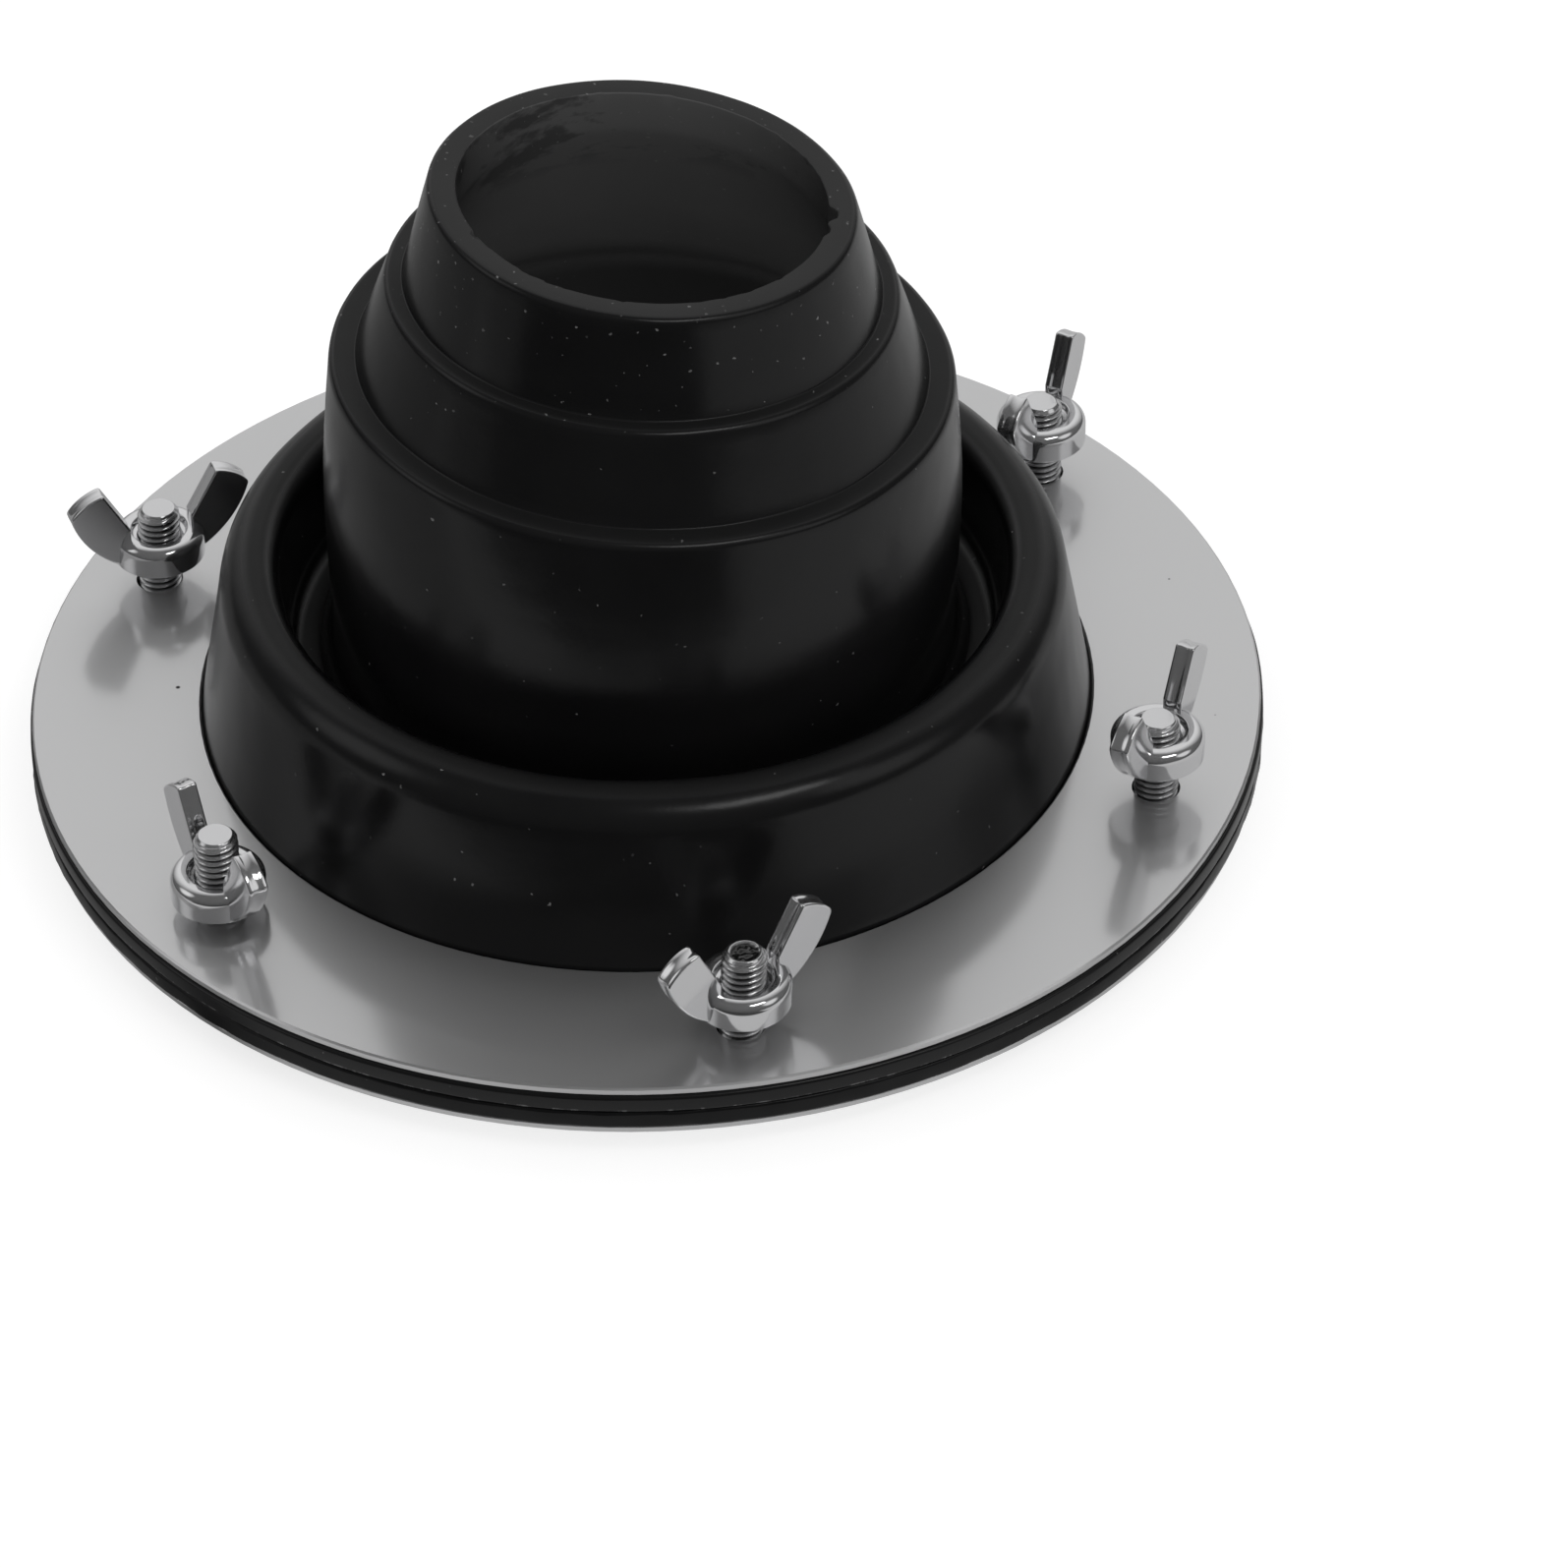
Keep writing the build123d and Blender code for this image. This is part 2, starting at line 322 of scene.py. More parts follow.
def drill(obj):
    """Cut the bolt holes through a rubber piece."""
    theta = turn_angles(HOLE_COLUMNS)
    past_face = 1
    sharp_angle = 60
    points, faces = [], []
    for x, y, _ in bolt_places():
        first = len(points) * HOLE_COLUMNS
        faces += [tuple(first + i for i in face) for face in grid_faces(2, HOLE_COLUMNS)]
        faces.append(tuple(range(first + HOLE_COLUMNS - 1, first - 1, -1)))
        faces.append(tuple(range(first + HOLE_COLUMNS, first + 2 * HOLE_COLUMNS)))
        for height in (GASKET_BASE - past_face, UPPER_RING_BASE + past_face):
            points.append(np.stack([
                x + BOLT_HOLE_RADIUS * np.cos(theta),
                y + BOLT_HOLE_RADIUS * np.sin(theta),
                np.full(HOLE_COLUMNS, height),
            ], 1))
    cutter = mesh_object("hole_cutter", np.concatenate(points), faces, smooth=False)
    holes = obj.modifiers.new("holes", "BOOLEAN")
    holes.object = cutter
    evaluated = obj.evaluated_get(bpy.context.evaluated_depsgraph_get())
    cut = bpy.data.meshes.new_from_object(evaluated)
    cut.set_sharp_from_angle(angle=math.radians(sharp_angle))
    obj.modifiers.clear()
    obj.data = cut
    bpy.data.objects.remove(cutter)


# Boot and gasket

def tilt_at(height):
    """Tilt of the cone's rings, in degrees, at a height above the deck."""
    if height <= LOW_FOOT[1]:
        return 0.0
    if height <= LOW_TOP[1]:
        return STEP_TILT * (height - LOW_FOOT[1]) / (LOW_TOP[1] - LOW_FOOT[1])
    if height <= MIDDLE_TOP[1]:
        return STEP_TILT
    share = min(1.0, (height - MIDDLE_TOP[1]) / (HIGH_TOP[1] - MIDDLE_TOP[1]))
    return STEP_TILT + (RIM_TILT - STEP_TILT) * share


def belly_radius(height):
    """Outer radius of the lowest tier: a parabola through its foot, belly and top."""
    heights = [LOW_FOOT[1], BELLY[1], LOW_TOP[1]]
    radii = [LOW_FOOT[0], BELLY[0], LOW_TOP[0]]
    return float(np.polyval(np.polyfit(heights, radii, 2), height))


def boot_outline():
    """Section of the boot as (radius, height above the deck, round) corners."""
    flange_under = FLANGE_BASE - DECK
    flange_top = UPPER_RING_BASE - DECK
    slope = math.tan(math.radians(SKIRT_SLOPE))
    crest_corner = SKIRT_FOOT_RADIUS - CREST_HEIGHT * slope
    roof_height = CREST_HEIGHT - SKIRT_WALL
    inside_foot = SKIRT_FOOT_RADIUS - SKIRT_WALL
    roof_corner = inside_foot - (roof_height - flange_under) * slope
    under_round = TROUGH_ROUND + SKIRT_WALL
    under_height = TROUGH_HEIGHT - SKIRT_WALL
    corners = [
        (inside_foot, flange_under, 0.2),
        (RUBBER_RADIUS, flange_under, 0.5),
        (RUBBER_RADIUS, flange_top, 0.5),
        (SKIRT_FOOT_RADIUS, flange_top, 0),
        (SKIRT_FOOT_RADIUS, 0, 0),
        (crest_corner, CREST_HEIGHT, CREST_OUTER_ROUND),
        (CREST_RADIUS - CREST_INNER_ROUND, CREST_HEIGHT, CREST_INNER_ROUND),
        (TROUGH_RADIUS + TROUGH_ROUND, TROUGH_HEIGHT, TROUGH_ROUND),
        (TROUGH_RADIUS - TROUGH_ROUND, TROUGH_HEIGHT, TROUGH_ROUND),
    ]
    for height in np.linspace(LOW_FOOT[1], LOW_TOP[1] - 1.5 * STEP_ROUND, 9):
        corners.append((belly_radius(height), float(height), 0))
    corners += [
        (*LOW_TOP, STEP_ROUND),
        (MIDDLE_FOOT_RADIUS, LOW_TOP[1], 0.3),
        (*MIDDLE_TOP, STEP_ROUND),
        (HIGH_FOOT_RADIUS, MIDDLE_TOP[1], 0.3),
        (*HIGH_TOP, RIM_ROUND),
        (BORE_RADIUS, HIGH_TOP[1], 0.2),
        (BORE_RADIUS, HIGH_TOP[1] - LAND_LENGTH, LAND_ROUND),
        (*THROAT, THROAT_ROUND),
        (BELLY[0] - CONE_WALL, CHAMBER_TOP_HEIGHT, CHAMBER_ROUND),
        (LOW_FOOT[0] - CONE_WALL, LOW_FOOT[1], 0),
        (TROUGH_RADIUS - under_round, under_height, under_round),
        (TROUGH_RADIUS + under_round, under_height, under_round),
        (CREST_RADIUS, roof_height, 0.4),
        (roof_corner, roof_height, CREST_OUTER_ROUND - SKIRT_WALL),
    ]
    return corners


def along_bore(angles, azimuth):
    """Distances along the bore's edge from an azimuth, in radians, to each angle."""
    return np.angle(np.exp(1j * (angles - azimuth))) * BORE_RADIUS


def rim_marks(radius, height, angles, nicks):
    """How far nicks and tear cut into the rubber round a ring of the boot."""
    from_rim = height - HIGH_TOP[1]
    down, out = from_rim / NICK_REACH[0], (radius - BORE_RADIUS) / NICK_REACH[1]
    edge = math.exp(-down ** 2) * math.exp(-out ** 2)
    cut = np.zeros(len(angles))
    for azimuth, width, depth in nicks:
        cut += edge * depth * np.exp(-(along_bore(angles, azimuth) / width) ** 2)
    if radius < TEAR_MAX_RADIUS and height > TEAR_MIN_HEIGHT:
        reach = math.exp(-(from_rim / TEAR_LENGTH) ** 2)
        for azimuth, width, depth in TEAR_BITES:
            away = along_bore(angles, math.radians(azimuth))
            cut += reach * depth * np.exp(-(away / width) ** 4)
    return cut


def make_boot():
    """The rubber boot: rings that tilt and lean as the cone does, nicked at the rim."""
    outline = divided(rounded_outline(boot_outline(), 0.6), 1.6)
    angles = turn_angles(BOOT_COLUMNS)
    nick_ranges = ((0, 2 * math.pi), NICK_WIDTHS, NICK_DEPTHS)
    nicks = [[random.uniform(*ends) for ends in nick_ranges] for _ in range(NICK_COUNT)]
    other_noise = Vector((50, 0, 0))
    points = []
    for radius, height in outline:
        tilt = math.radians(tilt_at(height))
        lean = CONE_LEAN * max(0.0, height - LOW_FOOT[1])
        r = np.full(BOOT_COLUMNS, radius)
        drop = np.zeros(BOOT_COLUMNS)
        for k, a in enumerate(angles):
            where = Vector((radius * math.cos(a), radius * math.sin(a), height))
            r[k] += waviness(where, BOOT_WAVES)
            drop[k] = waviness(where + other_noise, BOOT_DROP_WAVES)
        r += rim_marks(radius, height, angles, nicks)
        x = r * np.cos(angles)
        y = r * np.sin(angles)
        points.append(np.stack([
            lean + x * math.cos(tilt),
            y,
            DECK + height + drop - x * math.sin(tilt),
        ], 1))
    faces = grid_faces(len(outline), BOOT_COLUMNS, closed_rows=True)
    boot = mesh_object("boot_moulded", np.concatenate(points), faces)
    drill(boot)
    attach(boot, "root")
    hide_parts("boot")
    return boot


def make_gasket():
    """The rubber gasket under the flange, its cut edge a little uneven."""
    inner = SKIRT_FOOT_RADIUS + SKIRT_CLEARANCE
    corners = [
        (inner, GASKET_BASE, 0.1),
        (RUBBER_RADIUS, GASKET_BASE, GASKET_EDGE_ROUND),
        (RUBBER_RADIUS, FLANGE_BASE, GASKET_EDGE_ROUND),
        (inner, FLANGE_BASE, 0.1),
    ]
    outline = divided(rounded_outline(corners, 0.2), 0.9)
    angles = turn_angles(GASKET_COLUMNS)
    points = []
    for radius, height in outline:
        r = np.full(GASKET_COLUMNS, radius)
        if radius > inner + GASKET_PLAIN_WIDTH:
            for k, a in enumerate(angles):
                where = Vector((radius * math.cos(a), radius * math.sin(a), height * 2))
                r[k] += waviness(where, GASKET_WAVES)
        points.append(np.stack([
            r * np.cos(angles),
            r * np.sin(angles),
            np.full(GASKET_COLUMNS, height),
        ], 1))
    faces = grid_faces(len(outline), GASKET_COLUMNS, closed_rows=True)
    gasket = mesh_object("cut_gasket", np.concatenate(points), faces)
    drill(gasket)
    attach(gasket, "root")
    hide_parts("gasket_ring")
    return gasket


# Fasteners

def leaned(points, number):
    """The points of a bolt or its nut, leaned as that bolt stands in its holes."""
    lean_x, lean_y = BOLT_LEANS[number - 1]
    rise = points[:, 2] - FLANGE_BASE
    return points + np.stack([rise * lean_x, rise * lean_y, 0 * rise], 1)


def head_rows(theta):
    """Radii and heights of the head's rows: chamfered face, hexagon, foot of the shank."""
    half = HEAD_ACROSS_FLATS / 2
    hex_radius = half / np.cos((theta + np.pi / 6) % (np.pi / 3) - np.pi / 6)
    face_radius = half - HEAD_FACE_INSET
    slope = math.tan(math.radians(HEAD_CHAMFER_ANGLE))
    rise = np.maximum(0, hex_radius - face_radius) * slope
    even = np.ones(len(theta))
    return [
        (0 * even, 0 * even),
        (face_radius * even, 0 * even),
        (hex_radius, rise),
        (hex_radius, (HEAD_HEIGHT - 0.001) * even),
        (THREAD_RADIUS * even, HEAD_HEIGHT * even),
    ]


def thread_radius(phase):
    """Radius of an M6 thread along its pitch, phase 0 to 1, with flats at crest and root."""
    flank = (1 - THREAD_CREST_SHARE - THREAD_ROOT_SHARE) / 2
    away = np.abs((phase + 0.5) % 1 - 0.5)
    depth = np.clip((away - THREAD_CREST_SHARE / 2) / flank, 0, 1)
    return THREAD_RADIUS - THREAD_DEPTH * depth


def thread_rows(theta, start, phase_shift):
    """Radii and heights of the thread's rows, chamfered towards the tip."""
    even = np.ones(len(theta))
    rows = [(THREAD_RADIUS * even, start * even)]
    step = THREAD_PITCH / THREAD_ROWS_PER_TURN
    for height in np.arange(start + 0.02, BOLT_TOP - 0.02, step):
        radius = thread_radius((height / THREAD_PITCH - theta / (2 * np.pi) + phase_shift) % 1)
        back = min(TIP_CHAMFER, (BOLT_TOP - height) * TIP_CHAMFER_SLOPE)
        limit = THREAD_RADIUS - TIP_CHAMFER + back
        rows.append((np.minimum(radius, limit), height * even))
    return rows


def tip_rows(number, theta):
    """Radii and heights of the tip's rows: its edge, then a dented dish to the middle."""
    tip = THREAD_RADIUS - TIP_INSET
    dish = HOLLOW_TIP_DISH if number == HOLLOW_TIP else TIP_DISH
    dent_size, dent_share = TIP_DENTS
    even = np.ones(len(theta))
    rows = [(tip * even, BOLT_TOP * even), ((tip - 0.2) * even, (BOLT_TOP - 0.02) * even)]
    for radius in np.linspace(tip - 0.45, 0, TIP_ROWS):
        dents = [
            noise.noise(Vector((radius * math.cos(t), radius * math.sin(t), number)) * dent_size)
            for t in theta
        ]
        rows.append((radius * even, BOLT_TOP - dish * (1 + dent_share * np.array(dents))))
    return rows


def make_bolt(number, x, y, angle):
    """Hexagon bolt: chamfered head below, M6 thread above, a slightly dished tip."""
    theta = turn_angles(BOLT_COLUMNS)
    start = DECK - THREAD_START_BELOW_DECK
    head = head_rows(theta)
    rows = head + thread_rows(theta, start, random.random()) + tip_rows(number, theta)
    turned = theta + angle
    points = [np.stack([x + r * np.cos(turned), y + r * np.sin(turned), z], 1) for r, z in rows]
    points = leaned(np.concatenate(points), number)
    bolt = mesh_object(f"threaded_bolt_{number}", points, grid_faces(len(rows), BOLT_COLUMNS))
    # Painted shade: how deep a point lies in the thread's grooves, or in the hollow tip's dish,
    # darkens the steel there
    depth = np.concatenate([(THREAD_RADIUS - r) / THREAD_DEPTH for r, _ in rows])
    threaded = (points[:, 2] > start) & (points[:, 2] < BOLT_TOP - GROOVES_END_BELOW_TIP)
    if number == HOLLOW_TIP:
        threaded[-TIP_ROWS * BOLT_COLUMNS:] = True
    groove = bolt.data.attributes.new("groove", "FLOAT", "POINT")
    groove.data.foreach_set("value", np.clip(depth * threaded, 0, 1))
    smooth = [row >= len(head) for row in range(len(rows) - 1) for _ in range(BOLT_COLUMNS)]
    bolt.data.polygons.foreach_set("use_smooth", smooth)
    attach(bolt, "root")
    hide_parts(f"hex_bolt_{number}")
    return bolt


def arc_between(start, end, radius, steps):
    """Points of the arc from start to end that bulges to the left of the way there."""
    start, end = np.array(start, float), np.array(end, float)
    middle = (start + end) / 2
    chord = end - start
    half = np.linalg.norm(chord) / 2
    right = np.array([chord[1], -chord[0]]) / (2 * half)
    center = middle + right * math.sqrt(radius ** 2 - half ** 2)
    a0 = math.atan2(*(start - center)[::-1])
    a1 = math.atan2(*(end - center)[::-1])
    turn = (a1 - a0 + math.pi) % (2 * math.pi) - math.pi
    angles = a0 + turn * np.linspace(0, 1, steps)
    return [center + radius * np.array([math.cos(a), math.sin(a)]) for a in angles]


def wing_outline():
    """Side view of a wing, (reach, height), counterclockwise, its corners just rounded."""
    tip = arc_between(WING_TOP[:2], WING_TIP[:2], WING_TIP_ARC, WING_TIP_POINTS)
    under = arc_between(WING_TIP[:2], WING_FOOT[:2], WING_UNDER_ARC, WING_UNDER_POINTS)
    corners = [WING_TOP]
    corners += [(*p, 0) for p in tip[1:-1]]
    corners.append(WING_TIP)
    corners += [(*p, 0) for p in under[1:-1]]
    corners += [WING_FOOT, *WING_ROOT]
    return divided(rounded_outline(corners[::-1], 0.12), 0.5)


def plate_mesh(outline, opposite):
    """One wing, its rim rounded and shallowly grooved: points, normals, faces."""
    count = len(outline)
    outward = outward_normals(outline)
    flat = WING_HALF_THICKNESS - WING_EDGE_ROUND
    rows = []
    for a in np.radians([90, 60, 30, 8]):
        rows.append((
            flat + WING_EDGE_ROUND * math.sin(a),
            WING_EDGE_ROUND * (1 - math.cos(a)),
            a,
        ))
    share, depth, lean = WING_GROOVE_SIDE
    rows.append((share * flat, depth, math.radians(lean)))
    middle = (0.0, WING_GROOVE_DEPTH, 0.0)
    rows = [(-y, inset, -a) for y, inset, a in rows] + [middle] + rows[::-1]
    points, normals = [], []
    for y, inset, a in rows:
        ring = outline - outward * inset
        points.append(np.stack([ring[:, 0], np.full(count, y), ring[:, 1]], 1))
        out = outward * math.cos(a)
        normals.append(np.stack([out[:, 0], np.full(count, math.sin(a)), out[:, 1]], 1))
    points, normals = np.concatenate(points), np.concatenate(normals)
    faces = [face[::-1] for face in grid_faces(len(rows), count)]
    faces.append(tuple(range(count)))
    faces.append(tuple(range(len(rows) * count - 1, (len(rows) - 1) * count - 1, -1)))
    if opposite:
        points = points * (-1, -1, 1)
        normals = normals * (-1, -1, 1)
    return points, normals, faces


def hub_mesh():
    """The hub, turned from its section: points, normals, faces."""
    section = divided(rounded_outline(HUB_SECTION, 0.15), 0.35)
    angles = turn_angles(HUB_COLUMNS)
    ca, sa = np.cos(angles), np.sin(angles)
    even = np.ones(HUB_COLUMNS)
    points = [np.stack([r * ca, r * sa, z * even], 1) for r, z in section]
    normals = [np.stack([n * ca, n * sa, m * even], 1) for n, m in outward_normals(section)]
    faces = grid_faces(len(section), HUB_COLUMNS, closed_rows=True)
    return np.concatenate(points), np.concatenate(normals), faces


def make_wing_nut(number, x, y, lift, turn):
    """Wing nut: two flat wings with rounded edges standing out of a ring-shaped hub."""
    outline = wing_outline()
    points, normals, faces = [], [], []
    parts = [hub_mesh(), plate_mesh(outline, False), plate_mesh(outline, True)]
    count = 0
    for part_points, part_normals, part_faces in parts:
        points.append(part_points)
        normals.append(part_normals)
        faces += [tuple(i + count for i in face) for face in part_faces]
        count += len(part_points)
    a = math.radians(turn)
    spin = np.array([[math.cos(a), math.sin(a), 0], [-math.sin(a), math.cos(a), 0], [0, 0, 1]])
    points = leaned(np.concatenate(points) @ spin + (x, y, DECK + lift), number)
    normals = np.concatenate(normals) @ spin
    nut = mesh_object(f"cast_wing_nut_{number}", points, faces)
    nut.data.normals_split_custom_set_from_vertices(normals.tolist())
    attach(nut, "root")
    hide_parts(f"wing_nut_{number}")
    return nut


# Materials

def new_material(name):
    """A material, its node tree and its main shader."""
    material = bpy.data.materials.new(name)
    material.use_nodes = True
    tree = material.node_tree
    return material, tree, tree.nodes["Principled BSDF"]


def add_noise(tree, coords, scale, detail=4, roughness=0.5):
    tex = tree.nodes.new("ShaderNodeTexNoise")
    tex.inputs["Scale"].default_value = scale
    tex.inputs["Detail"].default_value = detail
    tex.inputs["Roughness"].default_value = roughness
    tree.links.new(coords, tex.inputs["Vector"])
    return tex.outputs["Fac"]


def separated(tree, vector):
    """The sockets X, Y and Z of a vector."""
    node = tree.nodes.new("ShaderNodeSeparateXYZ")
    tree.links.new(vector, node.inputs["Vector"])
    return node.outputs


def ramp(tree, value, low, high, out_low, out_high):
    """A value mapped from one range to another, and held at its ends."""
    node = tree.nodes.new("ShaderNodeMapRange")
    node.inputs["From Min"].default_value = low
    node.inputs["From Max"].default_value = high
    node.inputs["To Min"].default_value = out_low
    node.inputs["To Max"].default_value = out_high
    tree.links.new(value, node.inputs["Value"])
    return node.outputs["Result"]


def math_node(tree, operation, *values):
    """The result of an operation on numbers or sockets."""
    node = tree.nodes.new("ShaderNodeMath")
    node.operation = operation
    for socket, value in zip(node.inputs, values):
        if isinstance(value, (int, float)):
            socket.default_value = value
        else:
            tree.links.new(value, socket)
    return node.outputs[0]


def product(tree, first, *others):
    """The product of two or more sockets and numbers."""
    for other in others:
        first = math_node(tree, "MULTIPLY", first, other)
    return first


def vector_node(tree, operation, *values):
    """The outputs of an operation on tuples or vector sockets."""
    node = tree.nodes.new("ShaderNodeVectorMath")
    node.operation = operation
    for socket, value in zip(node.inputs, values):
        if isinstance(value, tuple):
            socket.default_value = value
        else:
            tree.links.new(value, socket)
    return node.outputs


def mixed_color(tree, low, high, factor):
    """Colour between two, each one a colour or a socket."""
    node = tree.nodes.new("ShaderNodeMix")
    node.data_type = "RGBA"
    for socket, value in ((node.inputs["A"], low), (node.inputs["B"], high)):
        if isinstance(value, tuple):
            socket.default_value = (*value, 1)
        else:
            tree.links.new(value, socket)
    tree.links.new(factor, node.inputs["Factor"])
    return node.outputs["Result"]


def seen_by(tree, ray, value, other):
    """A fixed value for one kind of ray and another socket's for all others."""
    node = tree.nodes.new("ShaderNodeMix")
    node.data_type = "FLOAT"
    tree.links.new(ray, node.inputs["Factor"])
    tree.links.new(other, node.inputs["A"])
    node.inputs["B"].default_value = value
    return node.outputs["Result"]


def faint_bump(tree, height):
    """The normal of a barely uneven surface."""
    bump = tree.nodes.new("ShaderNodeBump")
    bump.inputs["Strength"].default_value = 0.05
    bump.inputs["Distance"].default_value = 0.0003
    tree.links.new(height, bump.inputs["Height"])
    return bump.outputs["Normal"]


def boot_dust_and_painted_light(tree, coords, tone, rough):
    """The boot's tone and roughness: duller level faces, a painted sheen on the rim, and dust on
    inward walls whose tone also paints highlight and shade.
    """
    place = separated(tree, coords)
    height = place["Z"]
    normal = tree.nodes.new("ShaderNodeNewGeometry").outputs["Normal"]
    level = ramp(tree, separated(tree, normal)["Z"], 0.90, 0.98, 0.0, 1.0)
    rough = math_node(tree, "MULTIPLY_ADD", level, LEVEL_FACE_ROUGHER, rough)

    # Dust lies on walls that face the bore and has patches rubbed off it near the rim; its
    # lighter tone is also a painted highlight, strongest high up and at the back, with painted
    # shade low down and at the sides
    outward = vector_node(tree, "MULTIPLY", coords, (1, 1, 0))["Vector"]
    radius = vector_node(tree, "LENGTH", outward)["Value"]
    turned = vector_node(tree, "DOT_PRODUCT", outward, normal)["Value"]
    inward = math_node(tree, "LESS_THAN", turned, -0.004)
    near_axis = math_node(tree, "LESS_THAN", radius, DUST_RADIUS * MM)
    wall = product(tree, inward, near_axis)
    rough = math_node(tree, "MULTIPLY_ADD", wall, DUST_ROUGHER, rough)
    # Painted shade: the dust tone fades darker low down in the bore
    upper = ramp(tree, height, 0.053, 0.070, 0.25, 1.0)
    # Painted highlight: the dust tone is lightest on the back wall and fades towards the sides
    back = ramp(tree, math_node(tree, "DIVIDE", place["Y"], radius), 0.2, 0.95, 0.25, 1.0)
    drawn = vector_node(tree, "MULTIPLY", coords, (1, 1, 2.6))["Vector"]
    patches = ramp(tree, add_noise(tree, drawn, 75, 6, 0.62), 0.52, 0.58, 0.0, 0.55)
    patches = product(tree, patches, ramp(tree, height, 0.079, 0.084, 0.0, 1.0))
    unrubbed = math_node(tree, "SUBTRACT", 1.0, patches)
    tone = mixed_color(tree, tone, DUST_AND_SHEEN_COLOR, product(tree, wall, upper, back, unrubbed))

    # Painted sheen: a lighter tone on level faces, full on the rim's top face and faint lower
    # down
    painted_rim_sheen = product(tree, level, ramp(tree, height, 0.080, 0.085, 0.1, 1.0))
    return mixed_color(tree, tone, PAINTED_RIM_SHEEN_COLOR, painted_rim_sheen), rough


def specks(tree, coords, height):
    """Specks of dust, thickest near the rim: cells of a wavy lattice, a few of them lit."""
    wave = tree.nodes.new("ShaderNodeTexNoise")
    wave.inputs["Scale"].default_value = 1500
    tree.links.new(coords, wave.inputs["Vector"])
    reach = (0.0008, 0.0008, 0.0008)
    wavy = vector_node(tree, "MULTIPLY_ADD", wave.outputs["Color"], reach, coords)["Vector"]
    cells = tree.nodes.new("ShaderNodeTexVoronoi")
    cells.inputs["Scale"].default_value = 900
    tree.links.new(wavy, cells.inputs["Vector"])
    chosen = tree.nodes.new("ShaderNodeSeparateColor")
    tree.links.new(cells.outputs["Color"], chosen.inputs["Color"])
    share = ramp(tree, height, 0.074, 0.088, 0.05, 0.45)
    limit = math_node(tree, "SUBTRACT", 1.0, share)
    rare = math_node(tree, "GREATER_THAN", chosen.outputs["Red"], limit)
    size = math_node(tree, "MULTIPLY_ADD", chosen.outputs["Green"], 0.13, 0.06)
    inside = math_node(tree, "LESS_THAN", cells.outputs["Distance"], size)
    strength = ramp(tree, chosen.outputs["Blue"], 0.0, 1.0, 0.1, 1.0)
    return product(tree, inside, rare, strength)


def painted_highlight_dashes(tree, coords):
    """Painted highlight: broken light dashes along the flange's lip, by its joint with the
    gasket.
    """
    place = separated(tree, coords)
    angle = math_node(tree, "ARCTAN2", place["Y"], place["X"])
    along = tree.nodes.new("ShaderNodeCombineXYZ")
    tree.links.new(product(tree, angle, RUBBER_RADIUS * MM), along.inputs["X"])
    tree.links.new(product(tree, place["Z"], 0.5), along.inputs["Z"])
    dashes = add_noise(tree, along.outputs["Vector"], 420, 4, 0.7)
    dashes = ramp(tree, dashes, 0.52, 0.62, 0.0, 0.8)
    above = math_node(tree, "SUBTRACT", place["Z"], (FLANGE_BASE + HIGHLIGHT_DASH_HEIGHT) * MM)
    away = math_node(tree, "ABSOLUTE", above)
    joint = ramp(tree, away, 0.00008, 0.00022, 1.0, 0.0)
    return product(tree, joint, dashes)


def rubber_material(name, dark, light, specular, with_dust_and_painted_light=False):
    """Black rubber: cloudy satin, dust specks, painted highlight dashes at the joint of flange
    and gasket.
    """
    material, tree, shader = new_material(name)
    coords = tree.nodes.new("ShaderNodeTexCoord").outputs["Object"]
    cloud = add_noise(tree, coords, 60)
    tone = mixed_color(tree, dark, light, ramp(tree, cloud, 0.35, 0.7, 0.0, 1.0))
    rough = ramp(tree, cloud, 0.3, 0.7, 0.20, 0.27)
    if with_dust_and_painted_light:
        tone, rough = boot_dust_and_painted_light(tree, coords, tone, rough)
    dust = specks(tree, coords, separated(tree, coords)["Z"])
    # One light tone for dust specks and for the painted highlight dashes
    pale = math_node(tree, "MAXIMUM", dust, painted_highlight_dashes(tree, coords))
    tree.links.new(mixed_color(tree, tone, SPECK_AND_HIGHLIGHT_COLOR, pale), shader.inputs["Base Color"])
    tree.links.new(rough, shader.inputs["Roughness"])
    shader.inputs["Specular IOR Level"].default_value = specular
    grain = add_noise(tree, coords, 900, 6, 0.6)
    tree.links.new(faint_bump(tree, grain), shader.inputs["Normal"])
    return material


